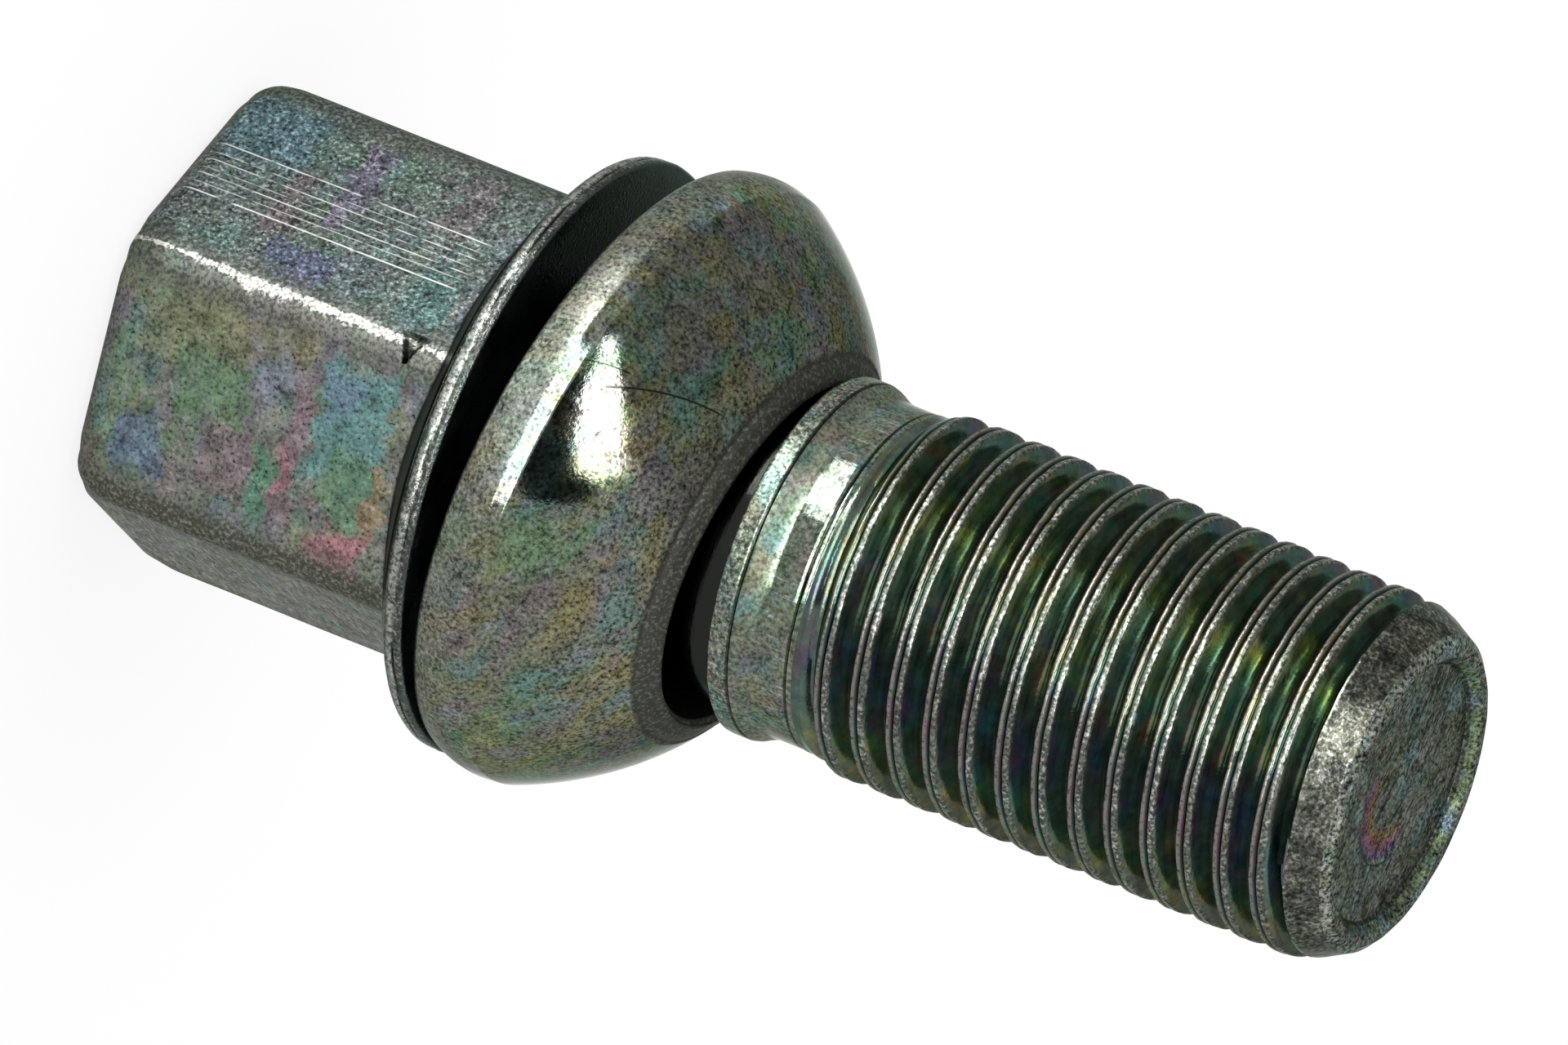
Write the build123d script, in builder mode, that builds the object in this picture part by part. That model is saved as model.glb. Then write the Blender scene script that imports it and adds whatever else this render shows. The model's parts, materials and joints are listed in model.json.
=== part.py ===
from build123d import *
import os
from math import atan2, cos, degrees, radians, sin, sqrt

# Wheel bolt with a loose, captive ball-seat collar, in millimetres.
# It stands on its head: the head's end face lies on Z = 0 and the thread points up along +Z.

# Hexagon head
across_flats = 16.8
hex_corner_radius = 1.35
head_end_radius = 1.2
corner_share = 0.9           # largest share of the corner radius that the end radius may take
head_height = 15.45          # end face to the flange's front face

# Flange between the head and the neck
flange_diameter = 23.0
flange_rim_thickness = 0.8
flange_rim_flat = 0.25       # straight stretch of the rim in front of its bevel
flange_back_rise = 1.95      # axial height of the conical back

# Neck that the collar rides on, and the bead that keeps the collar there
neck_diameter = 12.25
neck_root_bevel = 0.4
bore_clearance = 0.61        # radial room between the neck and the collar's bore
running_clearance = 0.2      # room left wherever the collar comes close to the bolt
bead_catch = 0.18            # how far the bead reaches past the bore
bead_flank = 0.15
bead_width = 0.79
bead_taper_length = 1.1

# Plain land and rolled thread
thread_diameter = 14.0
thread_pitch = 1.5
pitch_line_depth = 0.3248    # crest to pitch line, in pitches; the land is the rolling blank
thread_runout = 1.0
thread_length = 21.9         # end of the land to the tip
land_length = 1.4

# Chamfered tip with a cupped end
tip_chamfer_depth = 1.05
tip_chamfer_length = 1.9
tip_shoulder_radius = 1.2
tip_edge_bevel = 0.3
cup_rim_width = 0.62
cup_wall_inset = 0.35
cup_depth = 0.42
dimple_diameter = 5.8
dimple_wall_inset = 0.3
dimple_depth = 0.2

# Ball-seat collar
ball_radius = 13.4
seat_start_angle = 30.5      # latitude on the ball where the seat begins, in degrees
band_height = 2.95           # back face to the start of the seat
band_radius = 2.8
band_end_angle = 37.0        # lean of the band's surface where it meets the seat, in degrees
lip_width = 0.89
lip_height = 0.52
mouth_chamfer = 0.2
bore_back_chamfer = 0.5
collar_lean_azimuth = 10.2   # direction that the loose collar leans in, in degrees from +X

# Collar profile, worked out from the neck and the ball
bore_radius = neck_diameter / 2 + bore_clearance
mouth_radius = bore_radius + mouth_chamfer
seat_end_radius = mouth_radius + lip_width
seat_start_radius = ball_radius * cos(radians(seat_start_angle))
ball_centre = band_height - ball_radius * sin(radians(seat_start_angle))
seat_end = ball_centre + sqrt(ball_radius**2 - seat_end_radius**2)
collar_height = seat_end + lip_height
seat_middle_angle = (radians(seat_start_angle) + atan2(seat_end - ball_centre, seat_end_radius)) / 2
seat_middle = (ball_radius * cos(seat_middle_angle), ball_centre + ball_radius * sin(seat_middle_angle))
band_centre_radius = seat_start_radius - band_radius * cos(radians(band_end_angle))
band_centre = band_height - band_radius * sin(radians(band_end_angle))
collar_radius = band_centre_radius + band_radius
back_radius = band_centre_radius + sqrt(band_radius**2 - band_centre**2)

# The loose collar leans until it nearly meets the flange on one side and the bead on the other
collar_lean = degrees(atan2(2 * (bore_clearance - running_clearance), collar_height))
half_height = collar_height / 2 * cos(radians(collar_lean))
collar_middle = head_height + half_height + back_radius * sin(radians(collar_lean)) + running_clearance

# Heights along the bolt
rim_back = head_height - flange_rim_thickness
cone_start = rim_back - flange_back_rise
hexagon_end = (cone_start + rim_back) / 2      # the hexagon runs into the flange's conical back
bead_start = collar_middle + half_height + mouth_radius * sin(radians(collar_lean)) + running_clearance
bead_crown = bead_start + bead_flank
bead_end = bead_crown + bead_width
land_start = bead_end + bead_taper_length
thread_start = land_start + land_length
thread_full = thread_start + thread_runout
total_length = thread_start + thread_length
chamfer_start = total_length - tip_chamfer_length
cup_floor = total_length - cup_depth
dimple_floor = cup_floor - dimple_depth

# Radii along the bolt
flange_radius = flange_diameter / 2
flange_back_bevel = flange_rim_thickness - flange_rim_flat
neck_radius = neck_diameter / 2
bead_radius = bore_radius + bead_catch
thread_radius = thread_diameter / 2
land_radius = thread_radius - pitch_line_depth * thread_pitch
tip_radius = thread_radius - tip_chamfer_depth
cup_radius = tip_radius - cup_rim_width
cup_floor_radius = cup_radius - cup_wall_inset
dimple_radius = dimple_diameter / 2
dimple_floor_radius = dimple_radius - dimple_wall_inset

os.makedirs("parts", exist_ok=True)

# Bolt: a turned and rolled shank with its flange, and the hexagon head below it
with BuildPart() as bolt:
    with BuildSketch(Plane.XZ) as shank_profile:
        with BuildLine():
            Polyline(
                (0, cone_start),
                (across_flats / 2, cone_start),
                (flange_radius, rim_back),
                (flange_radius, head_height),
                (neck_radius, head_height),
                (neck_radius, bead_start),
                (bead_radius, bead_crown),
                (bead_radius, bead_end),
                (land_radius, land_start),
                (land_radius, thread_start),
                (thread_radius, thread_full),
                (thread_radius, chamfer_start),
                (tip_radius, total_length),
                (cup_radius, total_length),
                (cup_floor_radius, cup_floor),
                (dimple_radius, cup_floor),
                (dimple_floor_radius, dimple_floor),
                (0, dimple_floor),
                close=True,
            )
        make_face()
        rim = shank_profile.vertices().sort_by_distance((flange_radius, rim_back))[0]
        chamfer(rim, flange_back_bevel)
        root = shank_profile.vertices().sort_by_distance((neck_radius, head_height))[0]
        chamfer(root, neck_root_bevel)
        shoulder = shank_profile.vertices().sort_by_distance((thread_radius, chamfer_start))[0]
        fillet(shoulder, tip_shoulder_radius)
        tip_edge = shank_profile.vertices().sort_by_distance((tip_radius, total_length))[0]
        chamfer(tip_edge, tip_edge_bevel)
    revolve(axis=Axis.Z)
    with BuildSketch(Plane.XY) as hexagon:
        RegularPolygon(across_flats / 2, 6, major_radius=False, rotation=30)
        fillet(hexagon.vertices(), hex_corner_radius)
    extrude(amount=hexagon_end)
    end_edges = bolt.edges().group_by(Axis.Z)[0]
    fillet(end_edges, min(head_end_radius, corner_share * hex_corner_radius))

bolt.part.label = "bolt"
export_step(bolt.part, "parts/bolt.step")

# Seat collar: one turned ring about its own axis, leaning on the neck about the middle of its bore
lean = Location((0, 0, collar_middle), (0, 0, collar_lean_azimuth)) * Location((0, 0, 0), (0, collar_lean, 0))
collar_frame = Plane(lean)
collar_axis = Axis(collar_frame.origin, collar_frame.z_dir)
section_plane = Plane(
    collar_frame.origin - collar_frame.z_dir * (collar_height / 2),
    x_dir=collar_frame.x_dir,
    z_dir=-collar_frame.y_dir,
)

with BuildPart() as seat_collar:
    with BuildSketch(section_plane) as ring_profile:
        with BuildLine():
            ThreePointArc(
                (back_radius, 0),
                (collar_radius, band_centre),
                (seat_start_radius, band_height),
            )
            ThreePointArc((seat_start_radius, band_height), seat_middle, (seat_end_radius, seat_end))
            Polyline(
                (seat_end_radius, seat_end),
                (mouth_radius, collar_height),
                (bore_radius, collar_height - mouth_chamfer),
                (bore_radius, bore_back_chamfer),
                (bore_radius + bore_back_chamfer, 0),
                (back_radius, 0),
            )
        make_face()
    revolve(axis=collar_axis)

seat_collar.part.label = "seat_collar"
export_step(seat_collar.part, "parts/seat_collar.step")
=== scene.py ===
import json
from math import atan2, cos, degrees, pi, radians, sin, sqrt, tan

import bpy
import numpy as np
from mathutils import Matrix, Vector, noise


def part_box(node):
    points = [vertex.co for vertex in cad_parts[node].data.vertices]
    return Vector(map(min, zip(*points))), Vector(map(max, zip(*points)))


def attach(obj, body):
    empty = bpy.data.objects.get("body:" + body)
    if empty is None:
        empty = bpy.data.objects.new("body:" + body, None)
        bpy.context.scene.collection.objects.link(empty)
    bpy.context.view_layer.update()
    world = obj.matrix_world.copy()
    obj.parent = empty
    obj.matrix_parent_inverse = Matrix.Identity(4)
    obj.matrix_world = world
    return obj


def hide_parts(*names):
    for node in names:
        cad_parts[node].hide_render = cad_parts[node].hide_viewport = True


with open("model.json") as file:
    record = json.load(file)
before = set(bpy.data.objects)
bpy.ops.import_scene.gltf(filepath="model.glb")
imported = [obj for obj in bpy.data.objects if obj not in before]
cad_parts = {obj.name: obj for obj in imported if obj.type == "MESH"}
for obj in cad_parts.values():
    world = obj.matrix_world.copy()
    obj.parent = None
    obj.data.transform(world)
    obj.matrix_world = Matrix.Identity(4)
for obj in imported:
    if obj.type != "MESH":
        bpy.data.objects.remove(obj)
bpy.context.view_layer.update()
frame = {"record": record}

# Lengths are in millimetres and angles in degrees, unless a name or a comment says otherwise.
MM = 0.001

# Sizes read from the frame
_, bolt_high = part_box("bolt")
total_length = bolt_high.z / MM
flange_radius = bolt_high.x / MM
mounts = {mount["name"]: mount for mount in frame["record"]["mounts"]}
collar_axis = Vector(mounts["ball_seat"]["axis"]).normalized()
ball_point = Vector(mounts["ball_seat"]["pos_m"]) / MM
thread_radius = mounts["thread"]["dims"]["r_mm"]

# Hexagon head
hex_apothem = 8.4
hex_corner_radius = 1.35
hex_corner_centre = (hex_apothem - hex_corner_radius) / cos(pi / 6)
hex_corner_reach = hex_corner_centre + hex_corner_radius
head_end_radius = 1.2
corner_cut = 0.22            # how much further the corners are rounded off at the head's end
corner_cut_height = 2.0
root_fillet = 0.3
hammered = 0.012             # unevenness of the forged surface

# Its worn corner, with a small V-shaped dent
worn_corner = -90.0          # direction of the corner from the axis
worn_facet = -101.0          # direction that its worn strip faces
worn_facet_span = 18.0       # angle on both sides of that direction that the strip may take up
worn_depth = 0.016           # depth of the strip below the rounded corner
worn_reach = 0.32            # half width over which the bare metal fades out
dent_height = 12.12
dent_aside = -0.35           # where its wide end begins, across the corner
dent_half_width = 0.5
dent_reach = 0.85
dent_depth = 0.3

# Flange
cone_start = 13.0
rim_valley = 14.29           # where the conical back gives way to a shallow valley behind the rim
rim_back = 14.65
head_height = 15.45
crack_depth = 0.07

# Neck, bead and land
neck_radius = 6.125
neck_root = 0.4
bead_start = 25.377
bead_flank = 0.15
bead_radius = 6.915
bead_end = 26.317
land_start = 27.417
land_radius = 6.513
thread_start = 28.817

# Thread
thread_pitch = 1.5
thread_crest = thread_radius - 0.03
thread_depth = 0.885
crest_half_width = 0.23
root_half_width = 0.04
seam_offset = -0.035         # the rolled crest's seam, a little towards the head from its middle
seam_depth = 0.12
seam_width = 0.07
runout_length = 1.3
crest_height_at_up = 31.2    # a crest's height on the side that the camera sees uppermost

# Tip
chamfer_start = 48.817
tip_radius = 5.95
tip_edge_radius = 0.28
cup_radius = 5.33
cup_floor_radius = 4.98
cup_depth = 0.42
dimple_radius = 2.9
dimple_floor_radius = 2.45
dimple_depth = 0.2

# Collar, measured along its own axis from its back face
ball_radius = 13.4
ball_centre = -3.851
band_radius = 2.8
shoulder_start = 8.0         # lean of the band where its last, straight stretch begins
crease_height = 2.16         # where that stretch meets the ball
band_centre_height = 1.265
band_centre_radius = 9.306
bore_radius = 6.735
mouth_radius = 6.935
seat_end_radius = 7.825
collar_height = 7.547
bore_back_chamfer = 0.5

# View of the photograph
near_azimuth = -79.8
tip_lean = 21.5
roll = 21.7
camera_distance = 1200.0
sensor_width = 36.0
view_width = 56.7
aim_height = 24.4
aim_rise = 0.85

near = Vector((cos(radians(near_azimuth)), sin(radians(near_azimuth)), 0.0))
axis_up = Vector((0.0, 0.0, 1.0))
view_up = near.cross(axis_up)
up_azimuth = near_azimuth - 90.0
crest_height_at_zero = crest_height_at_up - thread_pitch * up_azimuth / 360.0

# Mesh fineness: columns on each flat, rounded corner and worn corner, and round the collar
FLAT_COLUMNS = 16
CORNER_COLUMNS = 12
WORN_COLUMNS = 28
AROUND = 6 * FLAT_COLUMNS + 5 * CORNER_COLUMNS + WORN_COLUMNS
COLLAR_AROUND = 320
MERGE_DIGITS = 5             # decimals of a millimetre to which points that coincide agree
SHARP_ANGLE = 40.0           # edges that turn by more are shaded sharp

# Row offsets from a crest's middle, close together where the crest has its two ridges
THREAD_ROWS = (-0.75, -0.62, -0.5, -0.39, -0.3, -0.24, -0.2, -0.165, -0.13, -0.095, -0.065,
               -0.035, -0.005, 0.03, 0.075, 0.13, 0.19, 0.25, 0.34, 0.44, 0.54, 0.65)

# Small nicks in the crests: degrees above the near side, height, length round the crest and depth
NICKS = (
    (-33.0, 41.6, 0.55, 0.14), (18.0, 43.3, 0.35, 0.08), (41.0, 36.1, 0.4, 0.07), (-12.0, 46.4, 0.3, 0.07),
)
NICK_WIDTH = 0.35


def clear_noise(points, size, seed):
    """Smooth noise from -1 to 1 at points in millimetres, with features of about the given size."""
    shift = Vector((seed * 17.3, seed * 5.9, seed * 11.1))
    flat = [noise.noise(Vector(p) / size + shift) for p in points.reshape(-1, 3)]
    return np.array(flat).reshape(points.shape[:-1])


def smooth_max(a, b, width):
    """The larger of a and b, with the corner between them filled over the given width."""
    share = np.clip(0.5 + 0.5 * (a - b) / width, 0.0, 1.0)
    return b + (a - b) * share + width * share * (1.0 - share)


def smoothstep(low, high, x):
    t = np.clip((x - low) / (high - low), 0.0, 1.0)
    return t * t * (3.0 - 2.0 * t)


def hump(x, middle, width):
    return np.exp(-((x - middle) / width)**2)


def turn_from(angle, degrees_from):
    """Signed angle in radians from a direction in degrees."""
    return (angle - radians(degrees_from) + pi) % (2.0 * pi) - pi


def polar(radius, angle, height):
    """Points from broadcast radii, angles and heights."""
    radius, angle, height = np.broadcast_arrays(radius, angle, height)
    return np.stack([radius * np.cos(angle), radius * np.sin(angle), height], axis=-1)


def push_out(grid, change):
    """Moves points away from the axis, or towards it where the change is negative."""
    reach = np.maximum(np.linalg.norm(grid[..., :2], axis=-1), 1e-6)
    grid[..., :2] *= ((reach + change) / reach)[..., None]


def arc(centre, radius, start, end, count):
    """Points (radius, height) on an arc between two angles."""
    turns = np.radians(np.linspace(start, end, count))
    return np.stack([centre[0] + radius * np.cos(turns), centre[1] + radius * np.sin(turns)], axis=-1)


def line(start, end, count):
    return np.linspace(start, end, count)


def around(count):
    return np.linspace(0.0, 2.0 * pi, count + 1)


def new_object(name, data):
    made = bpy.data.objects.new(name, data)
    bpy.context.scene.collection.objects.link(made)
    return made


class Skin:
    """Grids of points that share their borders, gathered into one closed mesh."""

    def __init__(self, *attributes):
        self.points = []
        self.faces = []
        self.materials = []
        self.attributes = {name: [] for name in attributes}
        self.count = 0

    def add(self, grid, material, **values):
        """Adds a grid of rows by columns; rows run along the part and columns run round it."""
        rows, columns = grid.shape[:2]
        index = self.count + np.arange(rows * columns).reshape(rows, columns)
        quads = np.stack([index[:-1, :-1], index[:-1, 1:], index[1:, 1:], index[1:, :-1]], axis=-1)
        quads = quads.reshape(-1, 4)
        self.points.append(grid.reshape(-1, 3))
        self.faces.append(quads)
        self.materials.append(np.full(len(quads), material))
        for name, column in self.attributes.items():
            column.append(np.broadcast_to(values.get(name, 0.0), (rows, columns)).reshape(-1))
        self.count += rows * columns

    def build(self, name):
        """Merges points that coincide, drops faces that collapse, and makes the mesh object."""
        points = np.concatenate(self.points)
        faces = np.concatenate(self.faces)
        materials = np.concatenate(self.materials)
        rounded = np.round(points, MERGE_DIGITS)
        _, first, same = np.unique(rounded, axis=0, return_index=True, return_inverse=True)
        faces = same.reshape(-1)[faces]
        kept_faces, kept_materials = [], []
        for face, material in zip(faces.tolist(), materials.tolist()):
            ring = [v for i, v in enumerate(face) if v != face[i - 1]]
            if len(ring) >= 3:
                kept_faces.append(ring)
                kept_materials.append(material)
        mesh = bpy.data.meshes.new(name)
        mesh.from_pydata((points[first] * MM).tolist(), [], kept_faces)
        mesh.polygons.foreach_set("material_index", kept_materials)
        mesh.polygons.foreach_set("use_smooth", [True] * len(kept_faces))
        for label, column in self.attributes.items():
            values = np.concatenate(column)[first].astype(np.float32)
            mesh.attributes.new(label, "FLOAT", "POINT").data.foreach_set("value", values)
        mesh.update()
        mesh.set_sharp_from_angle(angle=radians(SHARP_ANGLE))
        return new_object(name, mesh)


def hexagon_around():
    """Angles round the hexagon, closer together at its rounded corners and closest at the worn one."""
    flat_end = (hex_apothem - hex_corner_radius) * tan(pi / 6)
    half_arc = 30.0 - degrees(atan2(flat_end, hex_apothem))
    edge = 30.0 - 1.2 * half_arc
    half_flat = FLAT_COLUMNS // 2
    sectors = []
    for side in range(6):
        corner = 60.0 * side + 30.0
        columns = WORN_COLUMNS if abs(corner - (worn_corner + 360.0)) < 1.0 else CORNER_COLUMNS
        sectors += [
            np.linspace(corner - 30.0, corner - 30.0 + edge, half_flat, endpoint=False),
            np.linspace(corner - 30.0 + edge, corner + 30.0 - edge, columns, endpoint=False),
            np.linspace(corner + 30.0 - edge, corner + 30.0, half_flat, endpoint=False),
        ]
    return np.radians(np.concatenate(sectors + [[360.0]]))


def turn_from_flat(angle):
    """Angle in radians from the middle of the nearest flat; flats face 0, 60, 120... degrees."""
    return np.abs((angle + pi / 6) % (pi / 3) - pi / 6)


def hexagon_radius(angle, apothem, corner_radius):
    """Distance from the axis to a rounded hexagon."""
    from_flat = turn_from_flat(angle)
    from_corner = pi / 6 - from_flat
    centre = (apothem - corner_radius) / cos(pi / 6)
    reach = corner_radius**2 - (centre * np.sin(from_corner))**2
    round_part = centre * np.cos(from_corner) + np.sqrt(np.maximum(reach, 0.0))
    flat_part = apothem / np.cos(from_flat)
    flat_end = (apothem - corner_radius) * tan(pi / 6)
    return np.where(apothem * np.tan(from_flat) > flat_end, round_part, flat_part)


def corner_share(angle):
    """1 at the hexagon's rounded corners and 0 on its flats."""
    return smoothstep(0.42, 0.5, np.tan(turn_from_flat(angle)))


def head_rows(angle):
    """Rounded end, flats and conical back of the head, with the marks that its material reads."""
    end_turns = np.radians(np.linspace(0.0, 90.0, 10))
    near_dent = dent_height - 0.55
    height = np.concatenate([
        head_end_radius * (1.0 - np.cos(end_turns)),
        np.linspace(head_end_radius, near_dent, 52)[1:],
        np.linspace(near_dent, cone_start, 14)[1:],
        np.linspace(cone_start, rim_valley, 18)[1:],
    ])
    inset = np.zeros_like(height)
    inset[:len(end_turns)] = head_end_radius * (1.0 - np.sin(end_turns))
    cone_slope = (flange_radius - hex_apothem) / (rim_back - cone_start)
    corners = corner_share(angle)

    # Where each column lies on the worn strip and on the dent
    from_corner = turn_from(angle, worn_corner)
    from_facet = turn_from(angle, worn_facet)
    facet_lean = radians(worn_facet - worn_corner)
    facet_aside = from_corner * hex_corner_reach - hex_corner_radius * sin(facet_lean)
    on_facet = np.abs(from_facet) < radians(worn_facet_span)
    across = from_corner * hex_apothem
    along_dent = (across - dent_aside) / dent_reach
    dent_half = dent_half_width * (1.0 - np.clip(along_dent, -0.25, 1.0))
    on_dent = (along_dent > -0.25) & (along_dent < 1.0)
    dent_inside = smoothstep(dent_aside - 0.1, dent_aside + 0.2, across) * (along_dent < 1.0)

    rows, wear, edge, dent = [], [], [], []
    for z, cut in zip(height, inset):
        hexagon = hexagon_radius(angle, hex_apothem - cut, hex_corner_radius - cut)
        level = polar(hexagon, angle, z)
        ragged = 0.5 * clear_noise(level, 0.9, 3) + 0.35 * clear_noise(level, 0.35, 4)
        support = hex_corner_centre * cos(facet_lean) + hex_corner_radius - cut
        strip = (support - worn_depth * (1.0 + 0.7 * ragged)) / np.maximum(np.cos(from_facet), 0.5)
        shape = np.where(on_facet, np.minimum(hexagon, strip), hexagon)
        shape = shape - corner_cut * corners * smoothstep(corner_cut_height, 0.2, z)
        notch = np.clip(1.0 - np.abs(z - dent_height) / np.maximum(dent_half, 1e-3), 0.0, 1.0)
        shape = shape - dent_depth * notch * on_dent
        shape = smooth_max(shape, hex_apothem + (z - cone_start) * cone_slope, root_fillet)
        shape = shape + hammered * (clear_noise(level, 2.0, 5) - 1.0) * smoothstep(0.0, 1.0, z)
        rows.append(polar(shape, angle, z))
        torn = 0.45 + 0.55 * smoothstep(2.5, 4.2, z) + 1.1 * hump(z, 5.9, 1.1) + 0.3 * hump(z, 9.0, 1.0)
        spread = worn_reach * np.where(facet_aside > 0.0, torn, np.minimum(0.7, torn))
        wear.append(np.clip(1.0 - np.abs(facet_aside) / spread, 0.0, 1.0))
        edge.append(np.maximum(corners, smoothstep(0.9, 0.1, z)))
        dent.append(dent_inside * hump(np.abs(z - dent_height), 0.7 * dent_half, 0.09))
    return np.array(rows), height, {"wear": np.array(wear), "edge": np.array(edge), "side": np.array(dent)}


HEAD, FLANGE, SHANK, THREAD, TIP = range(5)


def add_head(skin, angle):
    """Adds the head up to the end of its conical back, and gives that end's radius and height."""
    end_outline = hexagon_radius(angle, hex_apothem - head_end_radius, hex_corner_radius - head_end_radius)
    end_outline = end_outline - corner_cut * corner_share(angle)
    skin.add(polar(np.linspace(0.0, 1.0, 9)[:, None] * end_outline, angle, 0.0), HEAD)
    rows, height, marks = head_rows(angle)
    rows[0] = polar(end_outline, angle, 0.0)
    cone_end = np.linalg.norm(rows[-1][0, :2])
    rows[-1] = polar(cone_end, angle, height[-1])
    skin.add(rows, HEAD, **marks)
    return cone_end, height[-1]


def add_flange(skin, angle, even, cone_end):
    """Adds the valley, the rounded rim with a crack that wanders round it, and the front face."""
    lip = np.concatenate([
        line(cone_end, (flange_radius - 0.5, rim_back - 0.2), 3),
        line((flange_radius - 0.51, rim_back - 0.16), (flange_radius - 0.42, rim_back - 0.13), 3),
        arc((flange_radius - 0.46, rim_back + 0.32), 0.45, -75.0, 20.0, 10),
        line((flange_radius - 0.01, rim_back + 0.47), (flange_radius, rim_back + 0.62), 5),
        arc((flange_radius - 0.18, head_height - 0.18), 0.18, 0.0, 90.0, 5),
    ])
    rim = polar(lip[:, :1], angle, lip[:, 1:])
    height = rim[..., 2]
    crack = rim_back + 0.42 + 0.09 * clear_noise(polar(flange_radius, angle, 0.0), 2.2, 8)
    broken = smoothstep(-0.3, 0.2, clear_noise(polar(flange_radius, angle, 3.0), 3.0, 9))
    ripple = 0.02 * (clear_noise(rim, 1.1, 10) - 1.0)
    inner = np.ones((len(lip), 1))
    inner[[0, -1]] = 0.0
    push_out(rim, (ripple - crack_depth * hump(height, crack, 0.05) * broken) * inner)
    skin.add(rim, FLANGE, side=hump(height, crack, 0.06) * broken)

    # The front face, on which the hexagon's columns spread out evenly
    share = np.linspace(0.0, 1.0, 7)[:, None]
    face_radius = lip[-1, 0] + (neck_radius + neck_root - lip[-1, 0]) * share
    skin.add(polar(face_radius, angle + (even - angle) * share, head_height), FLANGE)


def add_shank(skin, angle):
    """Adds the neck, bead, taper and land, with fine steps where the bead and the land end."""
    fall = np.linspace(0.0, 1.0, 9)
    taper_start = bead_end + 0.085
    taper_radius = bead_radius - 0.045
    taper = np.stack([land_radius + (taper_radius - land_radius) * (1.0 - fall)**1.7,
                      taper_start + (land_start - taper_start) * fall], axis=-1)
    shank = np.concatenate([
        arc((neck_radius + neck_root, head_height + neck_root), neck_root, 270.0, 180.0, 5),
        line((neck_radius, head_height + neck_root), (neck_radius, bead_start), 9)[1:],
        line((neck_radius, bead_start), (bead_radius - 0.04, bead_start + bead_flank), 4)[1:],
        line((bead_radius, bead_start + bead_flank + 0.06), (bead_radius, bead_end - 0.06), 9),
        line((bead_radius - 0.035, bead_end), (bead_radius - 0.075, bead_end + 0.035), 2),
        taper,
        line((land_radius, land_start), (land_radius, thread_start - 0.3), 7)[1:],
        line((land_radius - 0.035, thread_start - 0.25), (land_radius + 0.03, thread_start - 0.18), 3),
        line((land_radius + 0.025, thread_start - 0.06), (land_radius, thread_start), 3),
    ])
    height = shank[:, 1:]
    body = polar(shank[:, :1], angle, height)
    rough = 0.02 * hump(height, (bead_start + bead_end) / 2, 0.5)
    push_out(body, rough * (clear_noise(body, 0.5, 11) - 1.0))
    bead = smoothstep(bead_start - 0.05, bead_start + 0.1, height)
    bead = bead * (1.0 - smoothstep(bead_end - 0.02, bead_end + 0.08, height))
    skin.add(body, SHANK, edge=bead)


def tip_profile_radius(height):
    """Radius of the tip's chamfer with its rounded shoulder."""
    slope = (thread_radius - tip_radius) / (total_length - chamfer_start)
    chamfer = thread_radius - (height - chamfer_start) * slope
    return -smooth_max(-chamfer, -thread_radius, 0.5)


def thread_shape(angle, height):
    """Radius of the rolled thread, how near its crest each point is, and its side of the crest."""
    turn = (height - crest_height_at_zero) / thread_pitch - angle / (2.0 * pi)
    offset = ((turn + 0.5) % 1.0 - 0.5) * thread_pitch
    run = thread_pitch / 2 - root_half_width - crest_half_width
    fall = np.clip((np.abs(offset) - crest_half_width) / run, 0.0, 1.0)
    flank = 0.45 * fall + 0.55 * fall * fall * (3.0 - 2.0 * fall)
    seam = hump(offset, seam_offset, seam_width)
    kept = smoothstep(chamfer_start + 0.75, chamfer_start + 0.1, height)
    full = thread_crest - (thread_depth * flank + seam_depth * seam) * kept
    ramp = smoothstep(thread_start, thread_start + runout_length, height)
    rolled = land_radius + (full - land_radius) * ramp
    for rise, level, length, depth in NICKS:
        aside = turn_from(angle, near_azimuth - rise) * thread_radius
        rolled = rolled - depth * hump(aside, 0.0, length) * hump(height, level, NICK_WIDTH) * (1.0 - fall)
    tip = tip_profile_radius(height)
    radius = -smooth_max(-rolled, -tip, 0.12)
    cut = smoothstep(-0.06, 0.03, rolled - tip) * (height > chamfer_start - 1.0)
    crest = np.maximum((1.0 - fall - 0.9 * seam) * ramp, cut)
    side = offset / (thread_pitch / 2)
    return radius, np.clip(crest, 0.0, 1.0), side + (0.5 - side) * cut


def add_thread(skin, angle):
    """Adds rows along the helix from the land to the tip, held between two level rings."""
    end = total_length - tip_edge_radius
    first = int(np.floor((thread_start - crest_height_at_zero) / thread_pitch)) - 1
    last = int(np.ceil((end - crest_height_at_zero) / thread_pitch)) + 1
    crests = crest_height_at_zero + thread_pitch * np.arange(first, last)
    starts = (crests[:, None] + np.array(THREAD_ROWS)).reshape(-1, 1)
    height = np.clip(starts + thread_pitch * angle / (2.0 * pi), thread_start, end)
    radius, crest, side = thread_shape(angle, height)
    grid = polar(radius, angle, height)
    free = smoothstep(thread_start, thread_start + 0.6, height) * smoothstep(end, end - 0.6, height)
    grid[..., 2] += 0.028 * free * clear_noise(grid, 0.9, 14)
    push_out(grid, 0.02 * crest * free * (clear_noise(grid, 0.45, 15) - 1.0))
    skin.add(grid, THREAD, crest=crest, side=side)


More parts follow.
